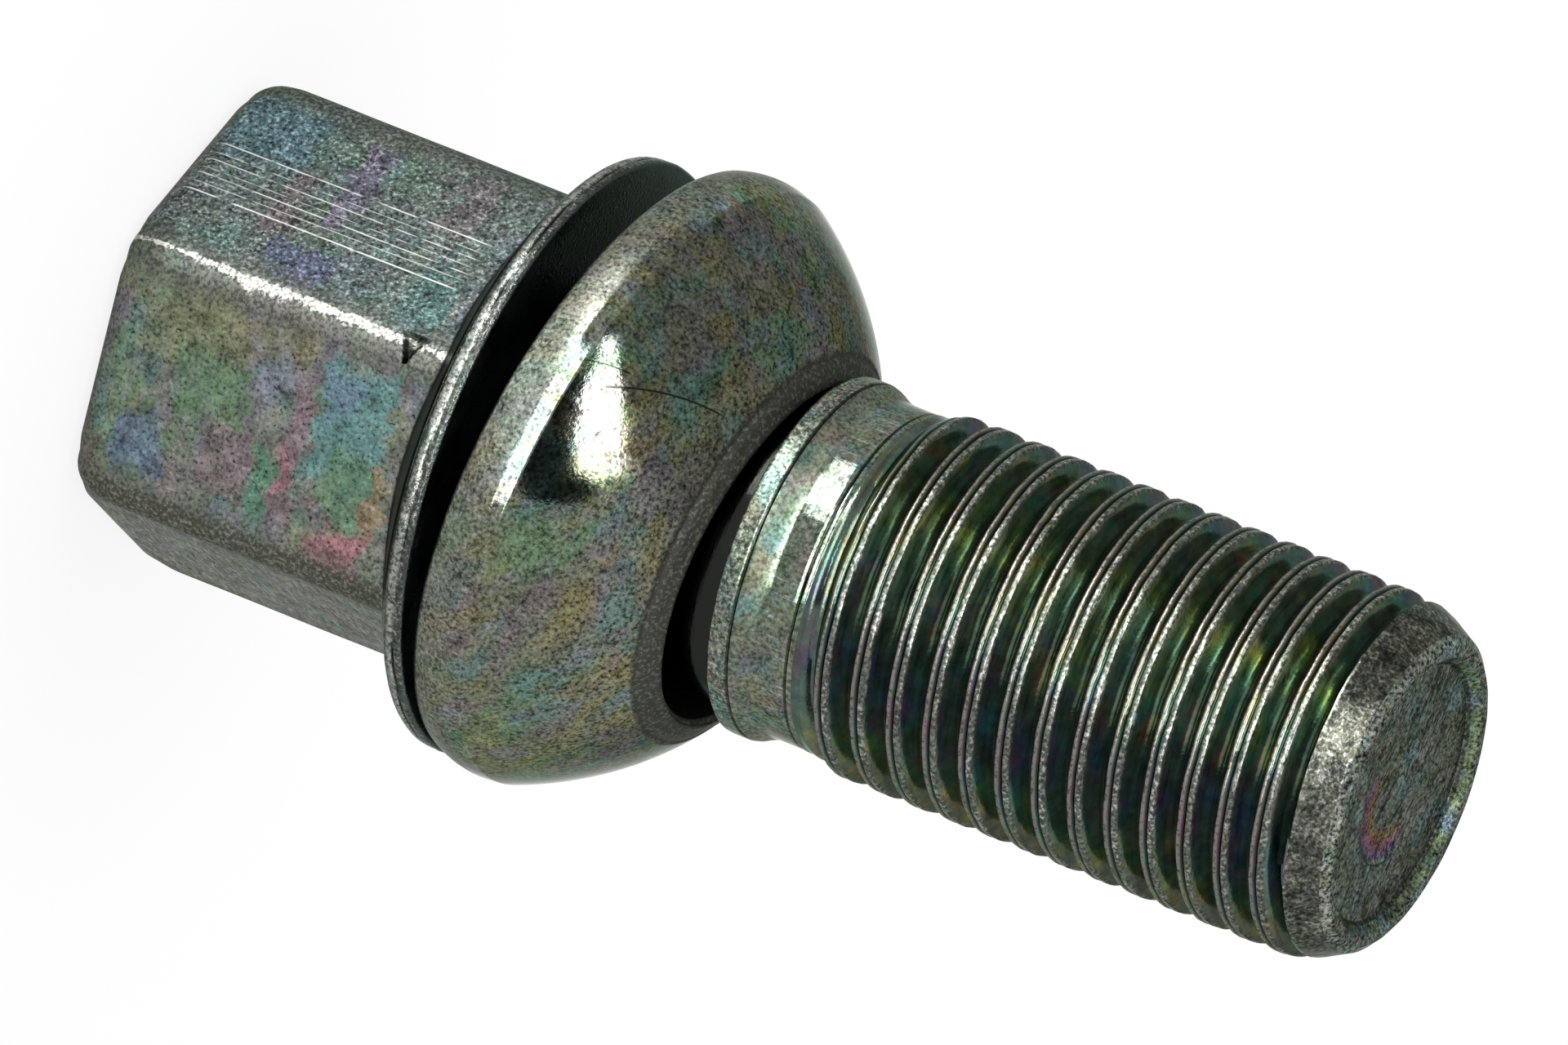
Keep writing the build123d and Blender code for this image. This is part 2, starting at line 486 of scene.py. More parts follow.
def add_tip(skin, angle):
    """Adds the tip's rounded edge, its rim, its cup and a lopsided dimple."""
    edge_start = total_length - tip_edge_radius
    floor = total_length - cup_depth
    tip = np.concatenate([
        line((tip_profile_radius(edge_start), edge_start), (tip_radius - 0.12, total_length - 0.03), 5),
        line((tip_radius - 0.17, total_length), (cup_radius + 0.05, total_length), 6),
        line((cup_radius, total_length - 0.03), (cup_floor_radius + 0.03, floor + 0.05), 7),
        line((cup_floor_radius - 0.02, floor), (dimple_radius, floor), 12),
        line((dimple_radius, floor), (dimple_floor_radius, floor), 9)[1:],
        line((dimple_floor_radius, floor), (0.0, floor), 14)[1:],
    ])
    reach = tip[:, :1]
    cap = polar(reach, angle, tip[:, 1:])
    inside = reach < cup_floor_radius
    deep_side = 0.5 + 0.5 * np.cos(turn_from(angle, up_azimuth + 160.0))
    sunk = smoothstep(dimple_radius, dimple_floor_radius, reach) * deep_side**1.5
    off_centre = smoothstep(0.0, 1.2, reach)
    waves = 0.012 * np.sin(reach * 7.5) * off_centre
    worn = 0.02 * clear_noise(cap, 1.0, 12) * off_centre
    cap[..., 2] -= (dimple_depth * sunk * off_centre + np.abs(waves) + np.abs(worn)) * inside
    ragged = 0.03 * (clear_noise(cap, 0.8, 13) - 1.0)
    ragged[0] = 0.0
    push_out(cap, ragged * smoothstep(cup_floor_radius - 0.3, cup_floor_radius, reach))
    skin.add(cap, TIP, edge=smoothstep(cup_radius - 0.1, cup_radius + 0.05, reach), side=sunk)


def bolt_skin():
    skin = Skin("wear", "edge", "crest", "side")
    angle = hexagon_around()
    even = around(AROUND)
    cone_end = add_head(skin, angle)
    add_flange(skin, angle, even, cone_end)
    add_shank(skin, even)
    add_thread(skin, even)
    add_tip(skin, even)
    return skin


def collar_skin():
    """The ring about its own axis, from its back face to its mouth and back through the bore."""
    skin = Skin("rise", "lip")
    end_angle = np.degrees(np.arccos(seat_end_radius / ball_radius))
    seat_end = ball_centre + sqrt(ball_radius**2 - seat_end_radius**2)
    band_start = -np.degrees(np.arcsin(band_centre_height / band_radius))
    start_angle = np.degrees(np.arcsin((crease_height - ball_centre) / ball_radius))
    crease_radius = ball_radius * cos(radians(start_angle))
    back_radius = band_centre_radius + sqrt(band_radius**2 - band_centre_height**2)
    mouth = mouth_radius - bore_radius
    band = arc((band_centre_radius, band_centre_height), band_radius, band_start + 3.0, shoulder_start, 14)
    back = np.concatenate([
        line((bore_radius + bore_back_chamfer, 0.0), (back_radius - 0.07, 0.0), 8),
        line((back_radius - 0.02, 0.03), (back_radius + 0.03, 0.1), 2),
        band,
        line(band[-1], (crease_radius, crease_height), 9)[1:],
    ])
    ball = arc((0.0, ball_centre), ball_radius, start_angle + 0.3, end_angle - 0.4, 36)
    front = np.concatenate([
        line((seat_end_radius - 0.01, seat_end - 0.04), (seat_end_radius - 0.13, seat_end + 0.05), 3),
        line((seat_end_radius - 0.24, seat_end + 0.17), (mouth_radius + 0.17, collar_height - 0.07), 6),
        line((mouth_radius + 0.08, collar_height), (mouth_radius, collar_height), 2),
        line((mouth_radius, collar_height), (bore_radius, collar_height - mouth), 3)[1:],
        line((bore_radius, collar_height - mouth), (bore_radius, bore_back_chamfer), 9)[1:],
        line((bore_radius, bore_back_chamfer), (bore_radius + bore_back_chamfer, 0.0), 3)[1:],
    ])
    profile = np.concatenate([back, ball, front])
    steps = np.linalg.norm(np.diff(profile, axis=0), axis=1)
    run = np.concatenate([[0.0], np.cumsum(steps)])[:, None]
    crease = len(back) - 1
    seat_last = crease + len(ball)
    reach, height = profile[:, :1], profile[:, 1:]
    grid = polar(reach, around(COLLAR_AROUND), height)
    lip = smoothstep(seat_end - 0.02, seat_end + 0.15, height) * (reach > mouth_radius + 0.02)
    grid[..., 2] -= np.abs(0.035 * lip * clear_noise(grid, 0.6, 16))
    lean = axis_up.rotation_difference(collar_axis).to_matrix()
    back_point = np.array(ball_point - collar_axis * ball_centre)
    past_seat = (run > run[seat_last] - 0.01) * 1.0
    skin.add(grid @ np.array(lean).T + back_point, 0, rise=run - run[crease], lip=past_seat)
    return skin


class Nodes:
    """Short calls for the nodes of one tree."""

    def __init__(self, tree):
        self.tree = tree

    def new(self, kind, **settings):
        node = self.tree.nodes.new("ShaderNode" + kind)
        for name, value in settings.items():
            setattr(node, name, value)
        return node

    def put(self, socket, value):
        if isinstance(value, bpy.types.NodeSocket):
            self.tree.links.new(value, socket)
        else:
            socket.default_value = value

    def math(self, operation, a, b=0.0):
        node = self.new("Math", operation=operation)
        self.put(node.inputs[0], a)
        self.put(node.inputs[1], b)
        return node.outputs[0]

    def fold(self, operation, values):
        result = values[0]
        for value in values[1:]:
            result = self.math(operation, result, value)
        return result

    def times(self, *values):
        return self.fold("MULTIPLY", values)

    def plus(self, *values):
        return self.fold("ADD", values)

    def minus(self, a, b):
        return self.math("SUBTRACT", a, b)

    def linear(self, value, factor, start):
        """The start plus the value times a factor."""
        return self.plus(self.times(value, factor), start)

    def wobble(self, field, amount):
        """A noise field turned into a value about 0."""
        return self.times(self.minus(field, 0.5), amount)

    def vector(self, operation, point, constant):
        node = self.new("VectorMath", operation=operation)
        self.put(node.inputs[0], point)
        node.inputs[1].default_value = tuple(constant)
        return node.outputs["Value" if operation == "DOT_PRODUCT" else "Vector"]

    def dot(self, point, direction):
        return self.vector("DOT_PRODUCT", point, direction)

    def noise(self, point, size, detail=1.0, distortion=0.0, roughness=0.5):
        node = self.new("TexNoise")
        self.put(node.inputs["Vector"], point)
        values = {"Scale": 1.0 / size, "Detail": detail, "Roughness": roughness, "Distortion": distortion}
        for name, value in values.items():
            node.inputs[name].default_value = value
        return node.outputs[0]

    def span(self, value, low, high):
        """0 below low, 1 above high and smooth between; low may be the larger."""
        node = self.new("MapRange", interpolation_type="SMOOTHSTEP")
        self.put(node.inputs[0], value)
        node.inputs[1].default_value = low
        node.inputs[2].default_value = high
        return node.outputs[0]

    def ramp(self, value, *stops):
        node = self.new("ValToRGB")
        self.put(node.inputs[0], value)
        elements = node.color_ramp.elements
        while len(elements) < len(stops):
            elements.new(0.5)
        for element, (place, colour) in zip(elements, stops):
            element.position = place
            element.color = (*colour, 1.0)
        return node.outputs[0]

    def mix(self, share, a, b):
        node = self.new("Mix", data_type="RGBA")
        self.put(node.inputs[0], share)
        for socket, colour in ((node.inputs[6], a), (node.inputs[7], b)):
            self.put(socket, colour if isinstance(colour, bpy.types.NodeSocket) else (*colour, 1.0))
        return node.outputs[2]

    def near_line(self, value, middle, half_width):
        """1 where a value is near the middle, falling to 0 at a half width from it."""
        away = self.math("ABSOLUTE", self.minus(value, middle))
        return self.span(away, half_width, half_width * 0.35)

    def window(self, value, low, high, soft):
        """1 between low and high, with soft borders."""
        above = self.span(value, low - soft, low + soft)
        return self.times(above, self.span(value, high + soft, high - soft))


OLIVE = (0.15, 0.16, 0.08)
GREEN = (0.095, 0.165, 0.095)
TEAL = (0.095, 0.185, 0.18)
BLUE = (0.11, 0.145, 0.215)
VIOLET = (0.165, 0.13, 0.205)
MAUVE = (0.17, 0.125, 0.14)
ROSE = (0.23, 0.115, 0.125)
GOLD = (0.215, 0.175, 0.065)
GREY = (0.14, 0.15, 0.13)
PALE = (0.5, 0.5, 0.46)
BARE = (0.62, 0.61, 0.56)
DIRT = (0.03, 0.036, 0.03)
PIT = (0.018, 0.022, 0.018)
SOOT = (0.018, 0.02, 0.017)
REFLECTED_EDGE = (0.5, 0.53, 0.5, 1.0)
DARKEST = 0.12               # share of a colour that its grain leaves at least


class Metal(Nodes):
    """A plated metal whose colour, roughness and relief are built up step by step."""

    def __init__(self, name, roughness, seed, vary=0.1):
        self.material = bpy.data.materials.new(name)
        self.material.use_nodes = True
        super().__init__(self.material.node_tree)
        self.shader = self.tree.nodes["Principled BSDF"]
        self.shader.inputs["Metallic"].default_value = 1.0
        self.shader.inputs["Specular Tint"].default_value = REFLECTED_EDGE
        self.point = self.vector("MULTIPLY", self.new("TexCoord").outputs["Object"], [1.0 / MM] * 3)
        self.cloud = self.vector("ADD", self.point, (7.1 * seed, 3.3 * seed, 5.7 * seed))
        self.height_above = self.dot(self.point, axis_up)
        self.fine = self.noise(self.cloud, 0.15, 2.0, roughness=0.65)
        self.coarse = self.noise(self.cloud, 0.75, 4.0, roughness=0.7)
        self.patchy = self.span(self.noise(self.cloud, 1.5, 2.0), 0.36, 0.62)
        self.grouped = self.linear(self.patchy, 0.75, 0.25)
        self.colour = None
        self.rough = self.linear(self.patchy, vary, roughness)
        self.relief = self.fine

    def attribute(self, name):
        return self.new("Attribute", attribute_name=name).outputs["Fac"]

    def across_axis(self):
        """The two coordinates across the bolt's axis."""
        split = self.new("SeparateXYZ")
        self.put(split.inputs[0], self.point)
        return split.outputs["X"], split.outputs["Y"]

    def squeezed(self, *factors):
        """Coordinates in which features come out shorter along an axis as its factor grows."""
        return self.vector("MULTIPLY", self.cloud, factors)

    def drawn(self, way, factor):
        """Coordinates in which features come out longer along a direction, the smaller the factor."""
        shift = self.new("VectorMath", operation="SCALE")
        shift.inputs[0].default_value = tuple(way)
        self.put(shift.inputs["Scale"], self.times(self.dot(self.cloud, way), factor - 1.0))
        total = self.new("VectorMath", operation="ADD")
        self.put(total.inputs[0], self.cloud)
        self.put(total.inputs[1], shift.outputs["Vector"])
        return total.outputs["Vector"]

    def tint(self, colour, *shares):
        """Blends in a colour by the product of the shares."""
        self.colour = self.mix(self.times(*shares), self.colour, colour)

    def clouds(self, base, where, *layers):
        """A base colour under soft clouds of other tints: colour, size and share of each."""
        self.colour = base
        for number, (colour, size, share) in enumerate(layers):
            field = self.noise(self.vector("ADD", where, (0.0, 31.7 * number, 0.0)), size, 2.0)
            self.tint(colour, self.span(field, 0.48, 0.64), share)

    def shade(self, factor):
        """Darkens or lightens the colour by a factor."""
        node = self.new("VectorMath", operation="SCALE")
        self.put(node.inputs[0], self.colour)
        self.put(node.inputs["Scale"], factor)
        self.colour = node.outputs["Vector"]

    def grain(self, change):
        """Lightens the colour where a change is above 0 and darkens it where it is below."""
        self.shade(self.math("MAXIMUM", self.plus(change, 1.0), DARKEST))

    def mottle(self, amount, fineness):
        """Lighter and darker grain, a blend of the coarse and the fine noise."""
        field = self.plus(self.times(self.coarse, 1.0 - fineness), self.times(self.fine, fineness))
        self.grain(self.wobble(field, amount))

    def specks(self, share, colour=(0.45, 0.46, 0.43), low=0.54, high=0.68):
        """Light grains, more of them as low and high come down."""
        self.tint(colour, self.span(self.fine, low, high), share)

    def grime(self, share, low=0.5, high=0.36):
        """Dark grains between the light ones."""
        self.tint(DIRT, self.span(self.fine, low, high), share)

    def dots(self, share):
        """Crisp black dots in loose groups, the smallest marks in the plating."""
        self.tint(SOOT, self.span(self.fine, 0.385, 0.315), self.grouped, share)

    def pits(self, share, low, high):
        """Small dark pits in loose groups."""
        pit = self.times(self.span(self.coarse, low, high), self.grouped, share)
        self.tint(PIT, pit)
        self.roughen(pit, 0.2)

    def roughen(self, share, amount):
        self.rough = self.plus(self.rough, self.times(share, amount))

    def finish(self, depth):
        """Links what was built up to the shader; depth is the bump's, in millimetres."""
        self.put(self.shader.inputs["Base Color"], self.colour)
        self.put(self.shader.inputs["Roughness"], self.rough)
        bump = self.new("Bump")
        bump.inputs["Strength"].default_value = 0.6
        bump.inputs["Distance"].default_value = depth * MM
        self.put(bump.inputs["Height"], self.relief)
        self.put(self.shader.inputs["Normal"], bump.outputs["Normal"])
        return self.material


def flat_frame(facing):
    """Outward and sideways directions of the head at the given azimuth."""
    turn = radians(facing)
    return (cos(turn), sin(turn), 0.0), (-sin(turn), cos(turn), 0.0)


# Azimuths of the three flats that the photograph shows, and of the corner between front and lower
FRONT = -60.0
UPPER = -120.0
LOWER = 0.0
LOW_CORNER = -30.0

# Tinted patches: flat, middle across it (towards a larger azimuth) and along the bolt, half sizes across
# and along, share and colour
PATCHES = (
    (FRONT, 3.5, 11.2, 1.2, 1.05, 0.9, ROSE),
    (FRONT, -1.2, 10.7, 2.3, 1.35, 0.9, TEAL),
    (FRONT, -2.2, 10.2, 0.9, 0.6, 0.6, BLUE),
    (FRONT, 1.2, 11.1, 1.3, 1.0, 0.75, GREEN),
    (FRONT, 1.2, 12.3, 1.4, 0.35, 0.7, (0.21, 0.14, 0.08)),
    (FRONT, 0.6, 8.65, 2.7, 0.42, 0.85, MAUVE),
    (FRONT, 1.6, 8.5, 1.2, 0.25, 0.7, ROSE),
    (FRONT, 2.3, 7.75, 1.3, 0.4, 0.85, (0.09, 0.19, 0.13)),
    (FRONT, 1.8, 6.1, 1.4, 0.95, 0.7, MAUVE),
    (FRONT, 2.4, 2.6, 1.0, 1.0, 0.75, BLUE),
    (FRONT, -2.6, 3.8, 1.4, 2.2, 0.55, OLIVE),
    (FRONT, -3.4, 6.9, 0.7, 1.8, 0.55, (0.16, 0.14, 0.09)),
    (FRONT, -0.6, 5.0, 1.2, 1.6, 0.65, GREEN),
    (UPPER, -2.3, 2.3, 1.7, 1.7, 0.65, (0.11, 0.2, 0.235)),
    (UPPER, -1.0, 6.4, 2.4, 0.5, 0.6, VIOLET),
    (UPPER, 3.2, 6.5, 1.0, 1.3, 0.6, (0.11, 0.12, 0.22)),
    (UPPER, 2.7, 11.6, 1.4, 0.9, 0.65, TEAL),
    (UPPER, -2.4, 10.4, 1.7, 0.7, 0.55, MAUVE),
    (UPPER, 0.6, 4.6, 1.6, 0.6, 0.6, MAUVE),
)

# Axial scratches on the upper flat: place across it, drift along it, half width and strength
SCRATCHES = (
    (1.62, -0.012, 0.05, 1.0), (1.2, -0.02, 0.035, 0.6), (0.72, -0.01, 0.045, 0.85),
    (0.42, -0.016, 0.03, 0.6), (-0.05, -0.012, 0.04, 0.8), (-0.42, -0.012, 0.03, 0.6),
    (-0.94, -0.01, 0.045, 0.95),
)


def head_material():
    metal = Metal("bolt_head", 0.36, 1.0)
    metal.clouds(GREY, metal.squeezed(0.6, 0.6, 1.1), (OLIVE, 2.4, 0.6), (GREEN, 1.8, 0.6),
                 (TEAL, 1.9, 0.55), (MAUVE, 1.7, 0.45), (VIOLET, 1.4, 0.4))
    height = metal.height_above
    flats = {}
    for facing in (FRONT, UPPER, LOWER):
        out, sideways = flat_frame(facing)
        on_flat = metal.span(metal.dot(metal.point, out), hex_apothem - 0.3, hex_apothem - 0.12)
        flats[facing] = (on_flat, metal.dot(metal.point, sideways))
    upper, across_upper = flats[UPPER]
    lower, _ = flats[LOWER]
    metal.tint((0.21, 0.205, 0.185), lower, 0.55)
    metal.tint((0.11, 0.165, 0.155), upper, 0.5)

    # Patches with loose borders
    loose_across = metal.wobble(metal.noise(metal.cloud, 1.3, 4.0, roughness=0.6), 3.2)
    shifted = metal.vector("ADD", metal.cloud, (0.0, 0.0, 57.0))
    loose_along = metal.wobble(metal.noise(shifted, 1.0, 4.0, roughness=0.6), 2.4)
    along = metal.plus(height, loose_along)
    for facing, middle, level, half_across, half_along, share, colour in PATCHES:
        on_flat, across = flats[facing]
        across = metal.plus(across, loose_across)
        metal.tint(colour, metal.window(across, middle - half_across, middle + half_across, 0.42),
                   metal.window(along, level - half_along, level + half_along, 0.22), on_flat, share)

    # All flats are mottled, and the upper flat's grain is coarser and lighter
    metal.shade(metal.linear(upper, -0.16, 0.96))
    metal.mottle(4.4, 0.5)
    light_grain = metal.times(upper, metal.span(metal.fine, 0.52, 0.68), 0.9)
    dark_grain = metal.times(upper, metal.span(metal.fine, 0.47, 0.34), 0.45)
    metal.grain(metal.minus(light_grain, dark_grain))
    metal.grime(0.35, 0.44, 0.34)
    metal.specks(metal.times(metal.linear(upper, 0.3, 0.1), metal.patchy), (0.55, 0.57, 0.55), 0.58, 0.7)
    metal.dots(0.9)

    # The lower flat has coarse grains that lie across it
    across_grain = metal.noise(metal.drawn(flat_frame(LOWER)[1], 0.2), 0.16, 2.0, roughness=0.65)
    metal.tint((0.04, 0.042, 0.036), lower, metal.span(across_grain, 0.45, 0.34), 0.75)
    metal.tint((0.42, 0.41, 0.38), lower, metal.span(across_grain, 0.56, 0.67), 0.6)
    metal.pits(0.8, 0.36, 0.28)

    # Bright axial scratches, broken along their length
    broken = metal.span(metal.noise(metal.squeezed(1.0, 1.0, 0.45), 0.32), 0.34, 0.5)
    within = metal.times(upper, metal.window(height, 0.9, 12.0, 0.3), broken)
    for place, drift, half_width, strength in SCRATCHES:
        straight = metal.minus(across_upper, metal.times(height, drift))
        metal.tint((0.7, 0.71, 0.68), metal.near_line(straight, place, half_width), within, strength)

    # Rounded edges are greyer and darker, painted shade along them with dark grains, and the low corner is
    # dark with light specks
    edge = metal.attribute("edge")
    metal.tint((0.12, 0.122, 0.105), edge, 0.6)
    metal.grime(metal.times(edge, 0.6), 0.54, 0.4)
    outward = metal.dot(metal.point, flat_frame(LOW_CORNER)[0])
    loose_reach = metal.plus(outward, metal.times(metal.coarse, 0.3))
    low_corner = metal.span(loose_reach, hex_corner_reach - 0.06, hex_corner_reach + 0.06)
    metal.tint((0.055, 0.055, 0.038), low_corner, 0.55)
    metal.specks(metal.times(low_corner, 0.4), (0.32, 0.32, 0.28), 0.52, 0.66)

    # The worn corner is bare and bright, with a ragged border
    wear = metal.attribute("wear")
    ragged = metal.plus(wear, metal.wobble(metal.noise(metal.cloud, 0.45, 4.0, roughness=0.7), 2.2))
    near_corner = metal.span(wear, 0.0, 0.12)
    metal.specks(metal.times(metal.span(ragged, 0.1, 0.4), near_corner, 0.6), PALE, 0.46, 0.6)
    worn = metal.times(metal.span(ragged, 0.42, 0.6), near_corner)
    metal.tint(BARE, worn, metal.linear(metal.span(metal.fine, 0.4, 0.56), 0.72, 0.28))
    metal.roughen(worn, -0.12)
    metal.relief = metal.minus(metal.relief, metal.times(worn, 0.4))

    # Painted shade: the conical back, where it faces back behind the flats, and the dent's sides are
    # darkened
    normal = metal.new("NewGeometry").outputs["Normal"]
    facing_back = metal.span(metal.dot(normal, -axis_up), 0.4, 0.7)
    behind_flats = metal.span(height, cone_start - 0.4, cone_start - 0.1)
    metal.tint((0.03, 0.032, 0.028), facing_back, behind_flats, 0.85)
    metal.tint(SOOT, metal.span(metal.attribute("side"), 0.2, 0.6), 0.95)
    return metal.finish(0.03)


def flange_material():
    metal = Metal("bolt_flange", 0.22, 2.0)
    metal.clouds((0.24, 0.245, 0.225), metal.cloud, (GREEN, 1.2, 0.3), (TEAL, 1.4, 0.25))
    height = metal.height_above
    # Painted shade: the valley behind the rim is nearly black
    rim = metal.span(height, rim_back - 0.22, rim_back - 0.12)
    metal.tint(SOOT, metal.minus(1.0, rim), 0.9)
    # Painted highlight and shade: the rim's middle is lighter and its edges darker
    ridge = metal.window(height, rim_back + 0.14, rim_back + 0.42, 0.1)
    metal.shade(metal.linear(ridge, 0.75, 0.35))
    metal.mottle(3.4, 0.4)
    metal.grime(metal.times(rim, 0.7), 0.5, 0.38)
    metal.specks(metal.times(rim, 0.4), PALE, 0.55, 0.68)
    metal.pits(metal.times(rim, 0.9), 0.42, 0.34)
    # Painted shade in the crack that wanders round the rim
    metal.tint(SOOT, metal.span(metal.attribute("side"), 0.3, 0.7), 0.95)
    # The front face takes a dark teal, its tint darkened as painted shade from the gap before it
    metal.tint((0.07, 0.092, 0.088), metal.span(height, head_height - 0.12, head_height - 0.02))
    return metal.finish(0.06)


def shank_material():
    metal = Metal("bolt_shank", 0.09, 3.0, 0.06)
    metal.clouds((0.13, 0.155, 0.12), metal.squeezed(0.7, 0.7, 1.2),
                 (TEAL, 1.3, 0.6), ((0.17, 0.16, 0.095), 1.2, 0.6), (MAUVE, 1.0, 0.4), (GREEN, 1.1, 0.4))
    height = metal.height_above
    bead = metal.attribute("edge")

    # Fine rings all over and scores along the land
    rings = metal.noise(metal.squeezed(0.25, 0.25, 9.0), 0.9, 2.0)
    crossing = metal.noise(metal.squeezed(6.0, 6.0, 0.4), 0.9, 2.0)
    on_land = metal.window(height, land_start, thread_start - 0.3, 0.1)
    metal.tint((0.45, 0.47, 0.45), on_land, metal.span(crossing, 0.58, 0.66), metal.patchy, 0.4)
    grainy = metal.times(metal.relief, metal.linear(bead, 0.7, 0.3))
    metal.relief = metal.plus(grainy, metal.times(rings, 0.35), metal.times(on_land, crossing, 0.2))

    # The bead is rougher and dirtier, and painted shade in the small steps draws dark lines after it and
    # after the land
    metal.mottle(4.4, 0.6)
    metal.grime(metal.linear(bead, 0.5, 0.25))
    metal.specks(metal.linear(bead, 0.5, 0.06), (0.42, 0.42, 0.38), 0.52, 0.68)
    tapered = metal.window(height, bead_end + 0.1, land_start - 0.25, 0.1)
    metal.roughen(bead, 0.16)
    metal.roughen(tapered, 0.3)
    for level in (bead_end + 0.02, thread_start - 0.26):
        metal.tint(SOOT, metal.near_line(height, level, 0.09), 0.8)
    # Painted shade: the neck before the bead, in the gap under the collar, is nearly black
    metal.tint((0.02, 0.022, 0.019), metal.span(height, bead_start + 0.04, bead_start - 0.04))
    metal.pits(0.6, 0.36, 0.28)
    return metal.finish(0.015)


# Tints that the thread runs through as its plating changes round it
THREAD_TINTS = (
    (0.0, (0.2, 0.11, 0.17)), (0.15, (0.11, 0.15, 0.25)), (0.3, (0.09, 0.24, 0.22)),
    (0.55, (0.1, 0.23, 0.14)), (0.82, (0.26, 0.28, 0.1)), (1.0, (0.22, 0.19, 0.11)),
)


def thread_material():
    metal = Metal("bolt_thread", 0.14, 4.0, 0.06)
    crest = metal.attribute("crest")
    side = metal.attribute("side")
    x, y = metal.across_axis()
    wander = metal.wobble(metal.noise(metal.squeezed(0.5, 0.5, 1.2), 1.8, 2.0), 3.0)
    phase = metal.plus(metal.times(metal.math("ARCTAN2", y, x), 3.0), wander, metal.times(side, 1.2), 1.0)
    metal.colour = metal.ramp(metal.linear(metal.math("SINE", phase), 0.5, 0.5), *THREAD_TINTS)
    metal.tint((0.125, 0.178, 0.142), metal.span(metal.noise(metal.cloud, 1.3, 2.0), 0.36, 0.56), 0.75)
    # Painted shade darkens the roots between the crests
    metal.tint((0.062, 0.08, 0.07), metal.span(crest, 0.3, 0.0), 0.6)
    lines = metal.noise(metal.squeezed(0.3, 0.3, 9.0), 0.9, 2.0)
    metal.tint((0.06, 0.074, 0.066), metal.span(lines, 0.5, 0.36), 0.4)
    metal.mottle(2.0, 0.25)
    metal.shade(0.8)

    # Crests: a smooth pinkish ridge towards the head and a rough grey one towards the tip
    ridge = metal.span(crest, 0.72, 0.95)
    ahead = metal.span(side, -0.05, 0.06)
    metal.tint((0.21, 0.18, 0.155), ridge, metal.minus(1.0, ahead), 0.9)
    metal.tint((0.12, 0.124, 0.104), ridge, ahead, 0.9)
    metal.specks(metal.times(ridge, ahead, metal.linear(metal.patchy, 0.6, 0.25)), PALE, 0.51, 0.68)
    metal.grime(metal.times(ridge, 0.8), 0.5, 0.38)

    # The chamfer has dark and light patches and a strong grain
    cut = metal.times(ridge, metal.window(side, 0.46, 0.54, 0.02))
    chamfer = metal.times(cut, metal.span(metal.height_above, chamfer_start - 0.6, chamfer_start - 0.2))
    metal.tint(metal.mix(metal.patchy, (0.055, 0.06, 0.055), (0.15, 0.155, 0.115)), chamfer, 0.55)
    metal.tint((0.03, 0.033, 0.028), chamfer, metal.span(metal.coarse, 0.48, 0.34), 0.85)
    metal.tint((0.36, 0.36, 0.33), chamfer, metal.span(metal.coarse, 0.6, 0.72), 0.7)
    metal.grain(metal.times(chamfer, metal.linear(metal.fine, 2.2, -1.38)))

    # The seam between the two ridges is a dark line of painted shade in its groove
    seam = metal.near_line(side, seam_offset / (thread_pitch / 2), 0.11)
    metal.tint(SOOT, seam, metal.span(crest, 0.9, 0.5), metal.span(crest, 0.02, 0.1), 0.9)
    metal.roughen(ridge, 0.14)
    metal.relief = metal.times(metal.relief, metal.linear(ridge, 0.6, 0.4))
    return metal.finish(0.03)


# Tints of the cup's wall, and outwards over the deep side of the dimple
WALL_TINTS = ((0.3, (0.05, 0.13, 0.13)), (0.5, (0.12, 0.16, 0.06)), (0.7, (0.06, 0.09, 0.15)))
DIMPLE_TINTS = ((0.0, GREY), (0.35, (0.27, 0.2, 0.08)), (0.7, (0.3, 0.12, 0.16)), (1.0, (0.17, 0.11, 0.2)))


def tip_material():
    metal = Metal("bolt_tip", 0.3, 5.0)
    metal.clouds((0.22, 0.238, 0.21), metal.cloud, (GREEN, 1.2, 0.5), ((0.17, 0.26, 0.26), 1.8, 0.8),
                 (OLIVE, 1.1, 0.5), (MAUVE, 1.0, 0.3))
    x, y = metal.across_axis()
    reach = metal.math("SQRT", metal.plus(metal.times(x, x), metal.times(y, y)))
    inside = metal.span(reach, cup_floor_radius, cup_floor_radius - 0.2)
    swirl = metal.noise(metal.cloud, 0.9, 3.0, 2.0)
    metal.tint((0.035, 0.04, 0.036), metal.span(swirl, 0.46, 0.4), inside, 0.5)
    wall = metal.window(reach, cup_floor_radius - 0.02, cup_radius, 0.05)
    metal.tint(metal.ramp(metal.noise(metal.cloud, 1.4), *WALL_TINTS), wall, 0.8)
    sunk = metal.attribute("side")
    deep = metal.times(metal.span(sunk, 0.35, 0.7), metal.span(reach, 1.0, 1.7))
    metal.tint(metal.ramp(metal.span(reach, 1.2, 2.6), *DIMPLE_TINTS), deep, 0.9)
    # Painted shade in the corner where the cup's wall meets its floor, and a painted shadow along the
    # dimple's edge on its deep side
    metal.tint(SOOT, metal.near_line(reach, cup_floor_radius, 0.1), 0.75)
    metal.tint(SOOT, metal.near_line(reach, dimple_radius - 0.08, 0.07), metal.span(sunk, 0.0, 0.1), 0.8)
    rim = metal.attribute("edge")
    metal.grime(metal.linear(rim, 0.5, 0.3), 0.52, 0.38)
    metal.specks(metal.linear(rim, 0.2, 0.1), (0.4, 0.4, 0.36), 0.52, 0.68)
    metal.mottle(6.4, 0.58)
    metal.dots(0.9)
    scraped = metal.noise(metal.drawn(view_up, 0.2), 0.24, 2.0, roughness=0.6)
    metal.tint(SOOT, metal.span(scraped, 0.44, 0.36), inside, 0.7)
    metal.pits(0.9, 0.38, 0.3)
    return metal.finish(0.03)


